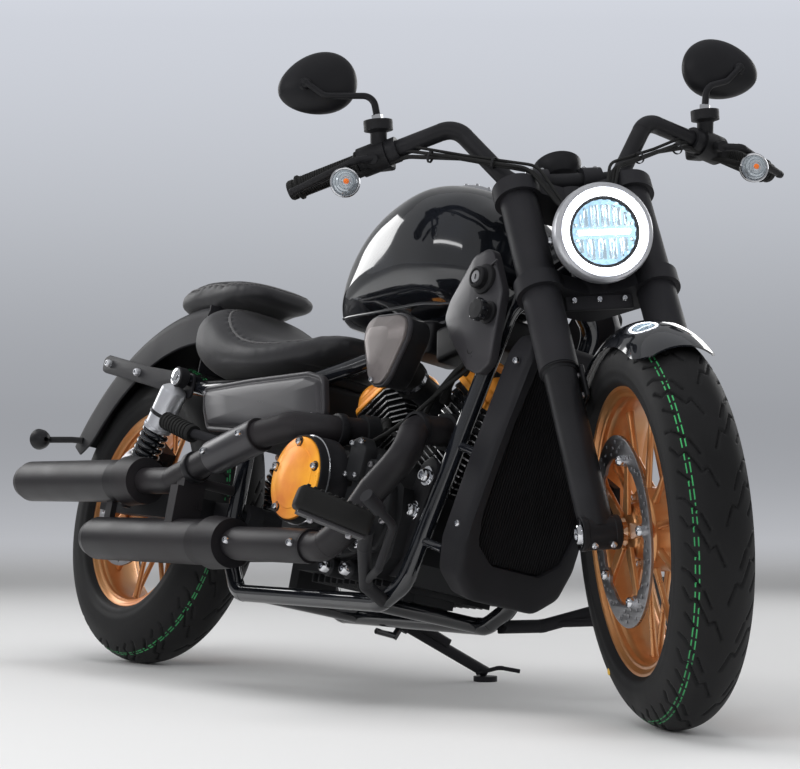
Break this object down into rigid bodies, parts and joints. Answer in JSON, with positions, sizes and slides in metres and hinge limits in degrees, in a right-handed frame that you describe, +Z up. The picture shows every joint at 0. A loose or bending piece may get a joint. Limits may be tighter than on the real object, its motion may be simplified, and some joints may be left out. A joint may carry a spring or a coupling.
{
  "type": "motorcycle",
  "caption": "Cruiser motorcycle with a finned V-twin engine, raised silencers on one side, multi-spoke wheels and a low stitched seat, leaning on its side stand with the bars turned.",
  "frame": {"origin": "middle of the outline's footprint, on the floor under the tyres and the stand's foot", "axes": "+X to the front along the length, +Y to the rider's left, +Z up"},
  "size_m": [2.2424, 1.0442, 1.2083],
  "materials": {
    "gloss_black": "gloss",
    "satin_black": "satin",
    "exhaust_black": "matte, heat-proof",
    "engine_black": "satin, wrinkled",
    "dark_grey": "satin",
    "titanium_grey": "brushed",
    "copper": "satin, metallic",
    "gold": "satin, metallic",
    "orange": "anodised",
    "steel": "ground",
    "silver": "polished",
    "black_plastic": "matte",
    "tyre": "matte",
    "rubber": "matte",
    "leather": "satin, stitched",
    "clear_lens": "clear",
    "indicator": "gloss",
    "red_lens": "gloss"
  },
  "bodies": {
    "chassis": {"frame": "gloss_black", "swingarm": "satin_black", "rear_shocks": "silver", "engine_case": "engine_black", "cylinder_barrels": "engine_black", "rocker_covers": "copper", "clutch_cover": "orange", "air_cleaner": "titanium_grey", "drive_belt": "rubber", "header_pipes": "exhaust_black", "silencers": "exhaust_black", "radiator_core": "black_plastic", "radiator_shroud": "black_plastic", "neck_covers": "dark_grey", "fuel_tank": "gloss_black", "fuel_cap": "satin_black", "rider_seat": "leather", "pillion_seat": "leather", "rear_fender": "gloss_black", "tail_lamp": "red_lens", "rear_indicators": "indicator", "side_covers": "dark_grey", "foot_controls": "satin_black", "pillion_pegs": "satin_black", "rear_caliper": "satin_black"},
    "stand": {"side_stand": "satin_black"},
    "rear_wheel": {"rear_rim": "gold", "rear_tyre": "tyre", "rear_disc": "steel", "rear_pulley": "black_plastic"},
    "fork": {"yokes": "satin_black", "fork_covers": "satin_black", "fork_legs": "satin_black", "front_fender": "gloss_black", "front_caliper": "satin_black", "headlamp_shell": "black_plastic", "headlamp_lens": "clear_lens", "handlebar": "satin_black", "grips": "rubber", "bar_controls": "black_plastic", "mirrors": "satin_black", "front_indicators": "indicator", "gauge": "black_plastic", "control_cables": "rubber"},
    "front_wheel": {"front_rim": "gold", "front_tyre": "tyre", "front_disc": "steel"}
  },
  "joints": [
    {"name": "steering", "type": "hinge", "parent": "chassis", "child": "fork", "pos_m": [0.50964, -0.0058, 0.76719], "axis": [-0.5167, 0.1782, 0.8374], "range_deg": [-7, 65]},
    {"name": "front_wheel_spin", "type": "hinge", "parent": "fork", "child": "front_wheel", "pos_m": [0.83202, -0.12163, 0.3115], "axis": [0.4154, 0.9074, 0.0632], "continuous": true},
    {"name": "rear_wheel_spin", "type": "hinge", "parent": "chassis", "child": "rear_wheel", "pos_m": [-0.76391, -0.10082, 0.31758], "axis": [0.0004, 0.9781, -0.2079], "continuous": true},
    {"name": "stand_swing", "type": "hinge", "parent": "chassis", "child": "stand", "pos_m": [-0.0635, 0.02517, 0.11332], "axis": [0.1758, 0.5205, 0.8356], "range_deg": [0, 99]}
  ]
}
